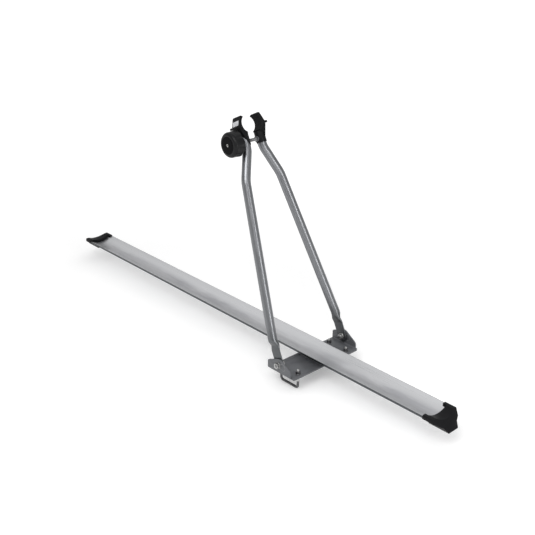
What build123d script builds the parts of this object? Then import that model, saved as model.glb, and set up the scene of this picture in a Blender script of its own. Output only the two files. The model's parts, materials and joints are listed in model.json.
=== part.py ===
"""Upright bike carrier for a roof bar: a wheel rail with end caps, a bracket with
two U-bolts, and a folding two-arm frame whose jaws are drawn together by a knob.

Millimetres, +X along the rail, +Y to the far side, +Z up. The origin is the
middle of the bracket's underside, which rests on the roof bar.
"""

import os
from math import atan2, cos, radians, sin, sqrt, tan

from build123d import *

os.makedirs("parts", exist_ok=True)

# Clearances
fit_gap = 0.15
shaft_gap = 0.08
seat_gap = 0.35

# Bracket: a folded steel plate with an upright ear at each end
plate_length = 85.0
plate_thickness = 3.0
ear_span = 220.0
ear_apex_rise = 18.9
ear_apex_offset = 4.1
ear_fall = 33.0
ear_front_inset = 8.5
ear_rear_radius = 4.0
ear_apex_radius = 15.0
ear_front_radius = 11.0
bend_radius = 2.5

# Pivot of the two arms, and the lean of the frame at rest
pivot_x = -7.5
pivot_height = 21.2
lean = 24.0

# Wheel rail: an aluminium trough with a slotted keel under it
rail_rear = -965.5
rail_front = 377.5
rail_half_width = 38.2
rail_lip_width = 2.2
rail_lip_height = 4.6
rail_depth = 13.5
rail_wall = 2.0
rail_top = 29.4
keel_width = 24.0
keel_wall = 2.0
keel_slot_width = 6.5
channel_height = 6.5
edge_round = 0.7

# End caps
cap_overlap = 24.0
cap_rise = 3.0
cap_roof_inset = 9.5
cap_roof_rise = 8.6
cap_lip_cover = 6.5
cap_side_wall = 0.8
cap_side_drop = 1.4
cap_flank_width = 44.4
cap_flank_drop = 16.0
cap_keel_wall = 2.0
cap_end_wall = 3.0
cap_nose = 27.5
cap_nose_radius = 2.0

# Rail screws, and the nuts that slide in the keel
rail_screw_offset = 30.0
rail_screw_diameter = 5.0
rail_screw_head = 9.6
rail_nut_length = 16.0
rail_nut_width = 13.0
rail_nut_thickness = 4.0
rail_screw_stickout = 1.0

# U-bolts
u_wire_diameter = 6.0
u_leg_spacing = 56.0
u_bolt_inset = 30.0
u_drop = 31.5
u_bend_radius = 7.0
u_leg_top = 14.0

# Nuts, washers and pivot bolts
m6_nut_flats = 10.0
m6_nut_height = 5.0
m6_washer_diameter = 12.0
m8_diameter = 8.0
m8_nut_flats = 13.0
m8_nut_height = 6.5
m8_head_height = 5.3
m8_washer_diameter = 16.0
washer_thickness = 1.6
thread_stickout = 2.8
hole_gap = 0.3

# Arms: steel tube, pressed flat at the pivot
tube_diameter = 22.0
tube_wall = 1.5
flat_thickness = 3.6
flat_width = 28.5
flat_length = 36.0
crimp_width = 25.0
crimp_thickness = 9.4
crimp_margin = 12.0
crimp_rise = 10.5
crimp_roundness = 0.96
knee_tail = 0.5
shoulder_y = 53.6
shoulder_height = 425.0
neck_y = 24.4
neck_drop = 19.0
arm_rise = 14.0
arm_bend_radius = 70.0
neck_bend_radius = 42.0
spacer_thickness = 0.8

# Clamp rod and the nut it screws into
rod_height = 514.5
rod_travel = 15.0
rod_slot_rise = 3.0
rod_hole_gap = 0.5
rod_far_end = 36.0
barrel_nut_length = 15.0
bush_diameter = 14.0
bush_spigot = 10.6
bush_flange = 2.0

# Jaws
jaw_depth = 28.0
jaw_radius = 21.0
jaw_centre_y = 8.6
jaw_centre_rise = 38.3
jaw_arc_start = -62.0
jaw_arc_end = 54.0
pad_thickness = 2.5
jaw_crown = 1.0
jaw_top_rise = 2.2
jaw_top_width = 7.8
jaw_back_lean = 9.6
jaw_back_fall = 22.5
jaw_foot_y = 29.0
jaw_foot_rise = 2.5
ledge_reach = 7.2
ledge_thickness = 5.2
jaw_edge = 1.2
jaw_top_round = 5.5
sleeve_drop = 10.5
sleeve_rise = 16.5
sleeve_wall = 1.25
relief_reach = 5.9
window_width = 23.0
window_height = 12.4
window_rise = 7.5
window_depth = 1.6
window_plate = 1.2
window_corner = 1.5
jaw_screw_rise = 10.2
jaw_screw_diameter = 4.0
jaw_screw_head = 8.0
jaw_screw_head_height = 2.4
jaw_screw_length = 6.0
spot_depth = 0.8

# Saddle, thrust washer and knob
saddle_diameter = 23.0
saddle_rise = 3.9
saddle_wrap = 2.2
thrust_washer_diameter = 22.0
knob_hub_diameter = 24.0
knob_diameter = 61.0
knob_taper = 1.2
knob_hub_length = 8.4
knob_rim_length = 16.0
knob_dome_length = 10.0
knob_dome_bulge = 2.8
knob_face_diameter = 45.0
knob_wall = 3.0
knob_web_depth = 13.0
knob_ribs = 8
knob_rib_thickness = 2.0
knob_rib_root = 0.5
knob_scallops = 8
scallop_radius = 9.0
scallop_depth = 1.6
insert_diameter = 12.0
insert_length = 16.0
rod_in_knob = 21.0
cover_diameter = 41.0
cover_thickness = 3.5
cover_boss_diameter = 18.0
cover_boss_length = 4.0
lock_diameter = 10.0
lock_length = 8.8
lock_proud = 0.7
key_slot_length = 6.0
key_slot_width = 1.6
key_slot_depth = 5.0
cam_thickness = 1.4
cam_reach = 12.0
cam_width = 6.0

# Frame of reference of the arms: across, up along the arms, out of their plane
pivot = Vector(pivot_x, 0, pivot_height)
arm_up = Vector(-sin(radians(lean)), 0, cos(radians(lean)))
arm_out = Vector(cos(radians(lean)), 0, sin(radians(lean)))
across = Vector(0, 1, 0)
arm_plane = Plane(origin=pivot, x_dir=across, z_dir=arm_out)


def arm_point(y, s, w=0.0):
    """A point y across, s up the arms and w out of their plane."""
    return pivot + across * y + arm_up * s + arm_out * w


def section(y, s):
    """A plane square to the arms, with x out of the arm plane and y across."""
    return Plane(origin=arm_point(y, s), x_dir=arm_out, z_dir=arm_up)


def facing(y, s):
    """A plane that looks to the near side, with x out of the arm plane and y up."""
    return Plane(origin=arm_point(y, s), x_dir=arm_out, z_dir=-across)


def pivot_facing(y):
    """A plane that looks to the near side, centred on the pivot, level with the rail."""
    return Plane(origin=(pivot_x, y, pivot_height), x_dir=(1, 0, 0), z_dir=(0, -1, 0))


def height_of(shape):
    """How far up the arms a shape's middle lies."""
    return (shape.center() - pivot).dot(arm_up)


def finish(builder, name):
    """Label a finished piece and write its file."""
    builder.part.label = name
    export_step(builder.part, f"parts/{name}.step")


def hexagon(flats):
    """A hexagon by its width across flats."""
    RegularPolygon(radius=flats / 2, side_count=6, major_radius=False)


# Wheel rail
rail_radius = ((rail_half_width - rail_lip_width) ** 2 + rail_depth**2) / (2 * rail_depth)
rail_centre = rail_top - rail_depth + rail_radius
lip_bottom = rail_top - rail_lip_height
keel_bottom = plate_thickness


def on_arc(radius, y):
    """A point of a circle about the rail's centre of curvature, below it."""
    return (y, rail_centre - sqrt(radius**2 - y**2))


def rail_outline(grow=0.0):
    """The rail's section without its channel, grown all round for what holds it."""
    top = rail_top + grow
    inside = rail_radius - grow
    under = rail_radius + rail_wall + grow
    edge = sqrt(inside**2 - (rail_centre - top) ** 2)
    half = rail_half_width + grow
    foot = rail_half_width - rail_lip_width - grow
    foot_z = lip_bottom - grow
    keel = keel_width / 2 + grow
    keel_z = keel_bottom - grow
    middle = (foot + keel) / 2
    with BuildLine() as outline:
        Polyline((edge, top), (half, top), (half, foot_z), (foot, foot_z), on_arc(under, foot))
        ThreePointArc(on_arc(under, foot), on_arc(under, middle), on_arc(under, keel))
        Polyline(on_arc(under, keel), (keel, keel_z), (-keel, keel_z), on_arc(under, -keel))
        ThreePointArc(on_arc(under, -keel), on_arc(under, -middle), on_arc(under, -foot))
        Polyline(on_arc(under, -foot), (-foot, foot_z), (-half, foot_z), (-half, top), (-edge, top))
        ThreePointArc((-edge, top), on_arc(inside, 0), (edge, top))
    return outline.edges()


with BuildPart() as wheel_rail:
    with BuildSketch(Plane.YZ.offset(rail_rear)) as rail_section:
        make_face(rail_outline())
        fillet(rail_section.vertices().group_by(Axis.Y)[-1], radius=edge_round)
        with Locations((0, keel_bottom + keel_wall + channel_height / 2)):
            Rectangle(keel_width - 2 * keel_wall, channel_height, mode=Mode.SUBTRACT)
        with Locations((0, keel_bottom + keel_wall / 2)):
            Rectangle(keel_slot_width, keel_wall, mode=Mode.SUBTRACT)
    extrude(amount=rail_front - rail_rear)
finish(wheel_rail, "wheel_rail")

# End caps: a hull around the rail's end, a roof sunk like the trough, a slanted nose
cap_top = rail_top + cap_rise
cap_half = rail_half_width + fit_gap + cap_side_wall
cap_bottom = keel_bottom - cap_keel_wall
cap_mouth = rail_front - cap_overlap
cap_face = rail_front + fit_gap + cap_end_wall
cap_tip = cap_face + cap_nose
roof_start = cap_mouth + cap_roof_inset
roof_half = rail_half_width - rail_lip_width - cap_lip_cover
cap_keel_half = keel_width / 2 + cap_keel_wall
hull_right = [
    (cap_keel_half, cap_bottom),
    (cap_flank_width / 2, rail_top - cap_flank_drop),
    (cap_half, lip_bottom - cap_side_drop),
    (cap_half, cap_top),
]
hull_left = [(-y, z) for y, z in reversed(hull_right)]

with BuildPart() as front_end_cap:
    with BuildSketch(Plane.YZ.offset(cap_mouth)) as hull:
        Polygon(*hull_right, *hull_left, align=None)
        fillet(hull.vertices().group_by(Axis.Y)[-1], radius=cap_rise)
        fillet(hull.vertices().group_by(Axis.Y)[0], radius=cap_keel_wall)
    extrude(amount=cap_tip - cap_mouth)
    with BuildSketch(Plane.XZ) as side_view:
        Polygon(
            (cap_mouth, cap_bottom),
            (cap_tip, cap_bottom),
            (cap_face, cap_top),
            (cap_mouth, cap_top),
            align=None,
        )
        fillet(side_view.vertices().sort_by(Axis.X)[-1], radius=cap_nose_radius)
    extrude(amount=cap_half, both=True, mode=Mode.INTERSECT)
    with BuildSketch():
        Polygon(
            (cap_mouth, -cap_half),
            (cap_face, -cap_half),
            (cap_tip, -cap_flank_width / 2),
            (cap_tip, cap_flank_width / 2),
            (cap_face, cap_half),
            (cap_mouth, cap_half),
            align=None,
        )
    extrude(amount=cap_top, mode=Mode.INTERSECT)
    with BuildSketch(Plane.YZ.offset(cap_mouth)):
        make_face(rail_outline(fit_gap))
    extrude(amount=cap_overlap + fit_gap, mode=Mode.SUBTRACT)
    for start, end, rise in ((cap_mouth, roof_start, 0), (roof_start, cap_tip, cap_roof_rise)):
        with BuildSketch(Plane.YZ.offset(start)):
            with Locations((0, rail_centre + rise)):
                Circle(rail_radius)
            with Locations((0, rail_top)):
                Rectangle(2 * roof_half, 2 * rail_depth, mode=Mode.INTERSECT)
        extrude(amount=end - start, mode=Mode.SUBTRACT)
finish(front_end_cap, "front_end_cap")

with BuildPart() as rear_end_cap:
    mirror(front_end_cap.part, about=Plane.YZ.offset((rail_rear + rail_front) / 2))
finish(rear_end_cap, "rear_end_cap")

# Bracket: a channel section, cut to the ears' outline and the plate's corners
plate_front = plate_length / 2
ear_front = plate_front - ear_front_inset
apex_x = pivot_x + ear_apex_offset
apex_height = pivot_height + ear_apex_rise
ear_rear_height = apex_height - (apex_x + plate_front) * tan(radians(lean))
ear_front_height = apex_height - (ear_front - apex_x) * tan(radians(ear_fall))
ear_inner = ear_span / 2 - plate_thickness
u_bolt_spacing = ear_span - 2 * u_bolt_inset
corners = [
    (-plate_front, ear_rear_height, ear_rear_radius),
    (apex_x, apex_height, ear_apex_radius),
    (ear_front, ear_front_height, ear_front_radius),
]

with BuildPart() as base_bracket:
    with BuildSketch(Plane.YZ.offset(-plate_front)) as channel:
        with Locations((0, apex_height)):
            Rectangle(ear_span, 2 * apex_height)
        fillet(channel.vertices().group_by(Axis.Y)[0], radius=bend_radius + plate_thickness)
        with BuildSketch(mode=Mode.PRIVATE) as channel_inside:
            with Locations((0, apex_height)):
                Rectangle(2 * ear_inner, 2 * (apex_height - plate_thickness))
            fillet(channel_inside.vertices().group_by(Axis.Y)[0], radius=bend_radius)
        add(channel_inside.sketch, mode=Mode.SUBTRACT)
    extrude(amount=plate_length)
    with BuildSketch(Plane.XZ) as ear_outline:
        Polygon(
            (-plate_front, 0),
            *[(x, z) for x, z, radius in corners],
            (ear_front, plate_thickness),
            (plate_front, plate_thickness),
            (plate_front, 0),
            align=None,
        )
        for x, z, radius in corners:
            fillet(ear_outline.vertices().sort_by_distance((x, z))[0], radius=radius)
    extrude(amount=ear_span / 2, both=True, mode=Mode.INTERSECT)
    with BuildSketch() as plan:
        Rectangle(plate_length, ear_span)
        fillet(plan.vertices().group_by(Axis.X)[-1], radius=ear_front_inset)
    extrude(amount=apex_height, mode=Mode.INTERSECT)
    with BuildSketch(pivot_facing(ear_span / 2)):
        Circle(m8_diameter / 2 + hole_gap)
    extrude(amount=ear_span, mode=Mode.SUBTRACT)
    with BuildSketch():
        with GridLocations(u_leg_spacing, u_bolt_spacing, 2, 2):
            Circle(u_wire_diameter / 2 + hole_gap)
    extrude(amount=plate_thickness, mode=Mode.SUBTRACT)
    with Locations(Plane((0, 0, 0), z_dir=(0, 0, -1))):
        with GridLocations(2 * rail_screw_offset, 0, 2, 1):
            CounterSinkHole(
                radius=rail_screw_diameter / 2 + hole_gap,
                counter_sink_radius=rail_screw_head / 2 + fit_gap,
                depth=plate_thickness,
            )
finish(base_bracket, "base_bracket")

# Rail screws and the nuts in the keel's channel
nut_seat = keel_bottom + keel_wall
nut_top = nut_seat + rail_nut_thickness

with BuildPart() as rail_screws:
    with BuildSketch():
        with GridLocations(2 * rail_screw_offset, 0, 2, 1):
            Circle(rail_screw_diameter / 2)
    extrude(amount=nut_top + rail_screw_stickout)
    for x in (-rail_screw_offset, rail_screw_offset):
        with BuildSketch(Plane.XZ):
            with Locations((x, 0)):
                head = rail_screw_head / 2
                Polygon((0, 0), (head, 0), (0, head), align=None)
        revolve(axis=Axis((x, 0, 0), (0, 0, 1)))
finish(rail_screws, "rail_screws")

with BuildPart() as rail_slot_nuts:
    with BuildSketch(Plane.XY.offset(nut_seat)):
        with GridLocations(2 * rail_screw_offset, 0, 2, 1):
            Rectangle(rail_nut_length, rail_nut_width)
            Circle(rail_screw_diameter / 2, mode=Mode.SUBTRACT)
    extrude(amount=rail_nut_thickness)
finish(rail_slot_nuts, "rail_slot_nuts")

# U-bolts with their washers and nuts
u_bottom = -u_drop - u_wire_diameter / 2
u_half = u_leg_spacing / 2

with BuildPart() as far_u_bolt:
    with BuildLine(Plane.XZ.offset(-u_bolt_spacing / 2)) as u_path:
        FilletPolyline(
            (-u_half, u_leg_top),
            (-u_half, u_bottom),
            (u_half, u_bottom),
            (u_half, u_leg_top),
            radius=u_bend_radius,
        )
    with BuildSketch(Plane(origin=u_path.line @ 0, z_dir=u_path.line % 0)):
        Circle(u_wire_diameter / 2)
    sweep()
    chamfer(far_u_bolt.faces().group_by(Axis.Z)[-1].edges(), length=edge_round)
finish(far_u_bolt, "far_u_bolt")

with BuildPart() as near_u_bolt:
    mirror(far_u_bolt.part, about=Plane.XZ)
finish(near_u_bolt, "near_u_bolt")

with BuildPart() as u_bolt_washers:
    with BuildSketch(Plane.XY.offset(plate_thickness)):
        with GridLocations(u_leg_spacing, u_bolt_spacing, 2, 2):
            Circle(m6_washer_diameter / 2)
            Circle(u_wire_diameter / 2 + hole_gap, mode=Mode.SUBTRACT)
    extrude(amount=washer_thickness)
finish(u_bolt_washers, "u_bolt_washers")

with BuildPart() as u_bolt_nuts:
    with BuildSketch(Plane.XY.offset(plate_thickness + washer_thickness)):
        with GridLocations(u_leg_spacing, u_bolt_spacing, 2, 2):
            hexagon(m6_nut_flats)
            Circle(u_wire_diameter / 2 + shaft_gap, mode=Mode.SUBTRACT)
    extrude(amount=m6_nut_height)
finish(u_bolt_nuts, "u_bolt_nuts")

# Pivot hardware, from the ear inwards: spacer, arm, washer, nut
flat_outer = ear_inner - spacer_thickness - seat_gap
flat_inner = flat_outer - flat_thickness
arm_base = (flat_outer + flat_inner) / 2
inner_washer = flat_inner - seat_gap
inner_nut = inner_washer - washer_thickness
bolt_tip = inner_nut - m8_nut_height - thread_stickout
head_seat = ear_span / 2 + washer_thickness

with BuildPart() as far_pivot_bolt:
    with BuildSketch(pivot_facing(head_seat + m8_head_height)):
        hexagon(m8_nut_flats)
    extrude(amount=m8_head_height)
    with BuildSketch(pivot_facing(head_seat)):
        Circle(m8_diameter / 2)
    extrude(amount=head_seat - bolt_tip)
    chamfer(far_pivot_bolt.faces().sort_by(Axis.Y)[0].edges(), length=edge_round)
finish(far_pivot_bolt, "far_pivot_bolt")

with BuildPart() as near_pivot_bolt:
    mirror(far_pivot_bolt.part, about=Plane.XZ)
finish(near_pivot_bolt, "near_pivot_bolt")

with BuildPart() as pivot_washers:
    for top in (head_seat, inner_washer):
        with BuildSketch(pivot_facing(top)):
            Circle(m8_washer_diameter / 2)
            Circle(m8_diameter / 2 + hole_gap, mode=Mode.SUBTRACT)
        extrude(amount=washer_thickness)
    mirror(about=Plane.XZ)
finish(pivot_washers, "pivot_washers")

with BuildPart() as pivot_spacers:
    with BuildSketch(pivot_facing(ear_inner)):
        Circle(m8_washer_diameter / 2)
        Circle(m8_diameter / 2 + hole_gap, mode=Mode.SUBTRACT)
    extrude(amount=spacer_thickness)
    mirror(about=Plane.XZ)
finish(pivot_spacers, "pivot_spacers")

with BuildPart() as pivot_nuts:
    with BuildSketch(pivot_facing(inner_nut)):
        hexagon(m8_nut_flats)
        Circle(m8_diameter / 2 + shaft_gap, mode=Mode.SUBTRACT)
    extrude(amount=m8_nut_height)
    mirror(about=Plane.XZ)
finish(pivot_nuts, "pivot_nuts")

# Arm tubes: the far one, then its mirror image; only their rod holes differ
tube_radius = tube_diameter / 2
crimp_height = plate_front + pivot_x + crimp_margin
round_height = crimp_height + crimp_rise
knee_turn = atan2(arm_base - shoulder_y, shoulder_height - round_height)
knee_height = round_height + arm_bend_radius * tan(knee_turn / 2) + knee_tail
rod_hole = m8_diameter / 2 + rod_hole_gap
arm_top = rod_height + arm_rise
crimp_sections = [
    (flat_length, flat_width, flat_inner, flat_outer),
    (crimp_height, crimp_width, flat_outer - crimp_thickness, flat_outer),
    (round_height, tube_diameter, arm_base - tube_radius, arm_base + tube_radius),
]

screw_plane = Plane(
    origin=arm_point(neck_y, rod_height + jaw_screw_rise), x_dir=across, z_dir=-arm_out
)

with BuildPart() as arm_blank:
    with BuildSketch(facing(flat_outer, 0)):
        Circle(flat_width / 2)
        with Locations((0, flat_length / 2)):
            Rectangle(flat_width, flat_length)
        Circle(m8_diameter / 2 + shaft_gap, mode=Mode.SUBTRACT)
    extrude(amount=flat_thickness)
    for height, width, inner, outer in crimp_sections:
        thickness = outer - inner
        with BuildSketch(section((outer + inner) / 2, height)):
            RectangleRounded(width, thickness, radius=crimp_roundness * thickness / 2)
    loft(ruled=True)
    with BuildLine(arm_plane) as arm_path:
        FilletPolyline(
            (arm_base, round_height),
            (arm_base, knee_height),
            (shoulder_y, shoulder_height),
            (neck_y, rod_height - neck_drop),
            (neck_y, arm_top),
            radius=(arm_bend_radius, arm_bend_radius, neck_bend_radius),
        )
    with BuildSketch(section(arm_base, round_height)):
        Circle(tube_radius)
    sweep(path=arm_path.line)
    with BuildSketch(section(arm_base, round_height)):
        Circle(tube_radius - tube_wall)
    sweep(path=arm_path.line, mode=Mode.SUBTRACT)
    with BuildSketch(screw_plane):
        Circle(jaw_screw_diameter / 2 + shaft_gap)
    extrude(amount=tube_radius, mode=Mode.SUBTRACT)

with BuildPart() as far_arm_tube:
    add(arm_blank.part)
    with BuildSketch(facing(neck_y + tube_radius, rod_height)):
        Circle(rod_hole)
    extrude(amount=tube_radius, mode=Mode.SUBTRACT)
    with BuildSketch(facing(neck_y, rod_height)):
        Circle(bush_spigot / 2 + fit_gap)
    extrude(amount=tube_radius, mode=Mode.SUBTRACT)
finish(far_arm_tube, "far_arm_tube")

with BuildPart() as near_arm_tube:
    mirror(arm_blank.part, about=Plane.XZ)
    with BuildSketch(facing(-neck_y + tube_radius, rod_height + rod_slot_rise / 2)):
        SlotCenterToCenter(rod_slot_rise, 2 * rod_hole, rotation=90)
    extrude(amount=tube_diameter, mode=Mode.SUBTRACT)
finish(near_arm_tube, "near_arm_tube")

# Jaws: an upper block with the round seat, on a sleeve that fits over the tube
sleeve_bore = tube_radius + fit_gap
sleeve_radius = sleeve_bore + sleeve_wall
sleeve_bottom = rod_height - sleeve_drop
sleeve_top = rod_height + sleeve_rise
jaw_centre_height = rod_height + jaw_centre_rise
seat_radius = jaw_radius + pad_thickness
arc_size = jaw_arc_end - jaw_arc_start
start_angle = radians(jaw_arc_start)
end_angle = radians(jaw_arc_end)
seat_low = (
    jaw_centre_y + seat_radius * cos(start_angle),
    jaw_centre_height + seat_radius * sin(start_angle),
)
seat_high = (
    jaw_centre_y + seat_radius * cos(end_angle),
    jaw_centre_height + seat_radius * sin(end_angle),
)
jaw_top_y = seat_high[0] + jaw_top_width
jaw_top = seat_high[1] + jaw_top_rise
jaw_back_y = jaw_top_y + jaw_back_lean
ledge_top = jaw_top - jaw_back_fall
ledge_bottom = ledge_top - ledge_thickness
spot_w = sleeve_radius - spot_depth
back_out = across * jaw_back_fall + arm_up * jaw_back_lean
back_up = (arm_up * jaw_back_fall - across * jaw_back_lean).normalized()
window_centre = arm_point(jaw_back_y, ledge_top) + back_up * window_rise
window_plane = Plane(origin=window_centre, x_dir=arm_out, z_dir=back_out)

with BuildPart() as jaw_blank:
    with BuildSketch(arm_plane) as jaw_outline:
        with BuildLine():
            SagittaArc(seat_high, (jaw_top_y, jaw_top), jaw_crown)
            Polyline(
                (jaw_top_y, jaw_top),
                (jaw_back_y, ledge_top),
                (jaw_back_y, ledge_bottom),
                (jaw_foot_y, rod_height + jaw_foot_rise),
                (neck_y, sleeve_top),
                (neck_y - sleeve_radius, sleeve_top),
                seat_low,
                seat_high,
            )
        make_face()
        fillet(jaw_outline.vertices().sort_by_distance((jaw_top_y, jaw_top))[0], radius=jaw_top_round)
    extrude(amount=jaw_depth / 2, both=True)
    side_edges = jaw_blank.faces().filter_by(arm_plane).edges()
    chamfer(side_edges.filter_by(lambda edge: height_of(edge) > ledge_top), length=jaw_edge)
    with BuildSketch(arm_plane):
        with Locations((jaw_centre_y, jaw_centre_height)):
            Circle(seat_radius)
    extrude(amount=jaw_depth / 2, both=True, mode=Mode.SUBTRACT)
    with BuildSketch(arm_plane) as ledge_outline:
        Polygon(
            (jaw_back_y, ledge_bottom),
            (jaw_back_y + ledge_reach, ledge_bottom),
            (jaw_back_y + ledge_reach, ledge_top),
            (jaw_back_y, ledge_top),
            align=None,
        )
        fillet(ledge_outline.vertices().group_by(Axis.X)[-1], radius=jaw_edge)
    extrude(amount=jaw_depth / 2 - jaw_edge, both=True)
    with BuildSketch(section(neck_y, sleeve_bottom)):
        Circle(sleeve_radius)
    extrude(amount=sleeve_top - sleeve_bottom)
    with BuildSketch(section(neck_y, sleeve_bottom)):
        Circle(sleeve_bore)
    extrude(amount=arm_top + fit_gap - sleeve_bottom, mode=Mode.SUBTRACT)
    with BuildSketch(window_plane):
        RectangleRounded(window_width, window_height, radius=window_corner)
    extrude(amount=-window_depth, mode=Mode.SUBTRACT)
    with BuildSketch(screw_plane):
        Circle(jaw_screw_diameter / 2 + hole_gap)
    extrude(amount=sleeve_radius, mode=Mode.SUBTRACT)
    with BuildSketch(screw_plane.offset(spot_w)):
        Circle(jaw_screw_head / 2 + fit_gap)
    extrude(amount=jaw_depth / 2, mode=Mode.SUBTRACT)

# The far jaw has round rod holes, and the near one slots and a sleeve cut on the slant
with BuildPart() as far_jaw:
    add(jaw_blank.part)
    with BuildSketch(facing(neck_y + sleeve_radius, rod_height)):
        Circle(rod_hole)
    extrude(amount=sleeve_radius, mode=Mode.SUBTRACT)
    with BuildSketch(facing(neck_y, rod_height)):
        Circle(bush_spigot / 2 + fit_gap)
    extrude(amount=sleeve_radius, mode=Mode.SUBTRACT)
finish(far_jaw, "far_jaw")

with BuildPart() as near_jaw:
    mirror(jaw_blank.part, about=Plane.XZ)
    with BuildSketch(arm_plane):
        Polygon(
            (-neck_y + relief_reach, sleeve_bottom),
            (-neck_y - sleeve_radius, sleeve_top),
            (-neck_y - tube_diameter, sleeve_top),
            (-neck_y - tube_diameter, sleeve_bottom),
            align=None,
        )
    extrude(amount=jaw_depth / 2, both=True, mode=Mode.SUBTRACT)
    with BuildSketch(facing(-neck_y + sleeve_radius, rod_height + rod_slot_rise / 2)):
        SlotCenterToCenter(rod_slot_rise, 2 * rod_hole, rotation=90)
    extrude(amount=2 * sleeve_radius, mode=Mode.SUBTRACT)
finish(near_jaw, "near_jaw")

# Rubber pads
with BuildPart() as far_jaw_pad:
    with BuildSketch(arm_plane):
        with BuildLine():
            inner_arc = CenterArc(
                (jaw_centre_y, jaw_centre_height), jaw_radius, jaw_arc_start, arc_size
            )
            outer_arc = CenterArc(
                (jaw_centre_y, jaw_centre_height), seat_radius, jaw_arc_start, arc_size
            )
            Line(inner_arc @ 0, outer_arc @ 0)
            Line(inner_arc @ 1, outer_arc @ 1)
        make_face()
    extrude(amount=jaw_depth / 2, both=True)
finish(far_jaw_pad, "far_jaw_pad")

with BuildPart() as near_jaw_pad:
    mirror(far_jaw_pad.part, about=Plane.XZ)
finish(near_jaw_pad, "near_jaw_pad")

# Plates set in the jaws' backs
with BuildPart() as far_jaw_plate:
    with BuildSketch(window_plane.offset(-window_depth)):
        RectangleRounded(
            window_width - 2 * fit_gap, window_height - 2 * fit_gap, radius=window_corner - fit_gap
        )
    extrude(amount=window_plate)
finish(far_jaw_plate, "far_jaw_plate")

with BuildPart() as near_jaw_plate:
    mirror(far_jaw_plate.part, about=Plane.XZ)
finish(near_jaw_plate, "near_jaw_plate")

# Screws that hold the jaws on the tubes
with BuildPart() as far_jaw_screw:
    with BuildSketch(screw_plane.offset(spot_w)):
        Circle(jaw_screw_head / 2)
    extrude(amount=jaw_screw_head_height)
    chamfer(far_jaw_screw.faces().sort_by(Axis(pivot, arm_out))[0].edges(), length=edge_round)
    with BuildSketch(screw_plane.offset(spot_w)):
        Circle(jaw_screw_diameter / 2)
    extrude(amount=-jaw_screw_length)
finish(far_jaw_screw, "far_jaw_screw")

with BuildPart() as near_jaw_screw:
    mirror(far_jaw_screw.part, about=Plane.XZ)
finish(near_jaw_screw, "near_jaw_screw")

# Barrel nut inside the far tube, and the bush where the rod enters it
with BuildPart() as far_barrel_nut:
    with BuildSketch(section(neck_y, rod_height - barrel_nut_length / 2)):
        Circle(tube_radius - tube_wall - fit_gap)
    extrude(amount=barrel_nut_length)
    with BuildSketch(facing(neck_y + tube_radius, rod_height)):
        Circle(m8_diameter / 2 + shaft_gap)
    extrude(amount=tube_diameter, mode=Mode.SUBTRACT)
finish(far_barrel_nut, "far_barrel_nut")

bush_face = neck_y - sleeve_radius - bush_flange
with BuildPart() as far_rod_bush:
    with BuildSketch(facing(bush_face, rod_height)):
        Circle(bush_diameter / 2)
    extrude(amount=-sleeve_radius)
    with BuildSketch(section(neck_y, sleeve_bottom)):
        Circle(sleeve_radius + shaft_gap)
    extrude(amount=sleeve_top - sleeve_bottom, mode=Mode.SUBTRACT)
    with BuildSketch(facing(bush_face, rod_height)):
        Circle(bush_spigot / 2)
    extrude(amount=-(bush_flange + sleeve_wall + fit_gap + tube_wall))
    with BuildSketch(facing(bush_face + sleeve_radius, rod_height)):
        Circle(m8_diameter / 2 + shaft_gap)
    extrude(amount=2 * sleeve_radius, mode=Mode.SUBTRACT)
finish(far_rod_bush, "far_rod_bush")

# Along the rod, outwards on the near side: saddle, thrust washer, knob
rod_plane = facing(0, rod_height)
rod_axis = Axis(arm_point(0, rod_height), -across)
saddle_face = neck_y + tube_radius + saddle_rise
washer_face = saddle_face + seat_gap
hub_back = washer_face + washer_thickness + seat_gap
rim_back = hub_back + knob_hub_length
rim_front = rim_back + knob_rim_length
knob_face = rim_front + knob_dome_length

with BuildPart() as near_saddle:
    with BuildSketch(rod_plane.offset(saddle_face)):
        Circle(saddle_diameter / 2)
    extrude(amount=-saddle_rise - saddle_wrap)
    chamfer(near_saddle.faces().sort_by(Axis.Y)[0].edges(), length=edge_round)
    with BuildSketch(section(-neck_y, sleeve_bottom - saddle_diameter)):
        Circle(tube_radius + shaft_gap)
    extrude(amount=2 * (sleeve_top - sleeve_bottom), mode=Mode.SUBTRACT)
    with BuildSketch(facing(-neck_y, rod_height + rod_slot_rise / 2)):
        SlotCenterToCenter(rod_slot_rise, 2 * rod_hole, rotation=90)
    extrude(amount=saddle_face, mode=Mode.SUBTRACT)
finish(near_saddle, "near_saddle")

with BuildPart() as thrust_washer:
    with BuildSketch(rod_plane.offset(washer_face)):
        Circle(thrust_washer_diameter / 2)
        Circle(m8_diameter / 2 + shaft_gap, mode=Mode.SUBTRACT)
    extrude(amount=washer_thickness)
finish(thrust_washer, "thrust_washer")

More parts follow.
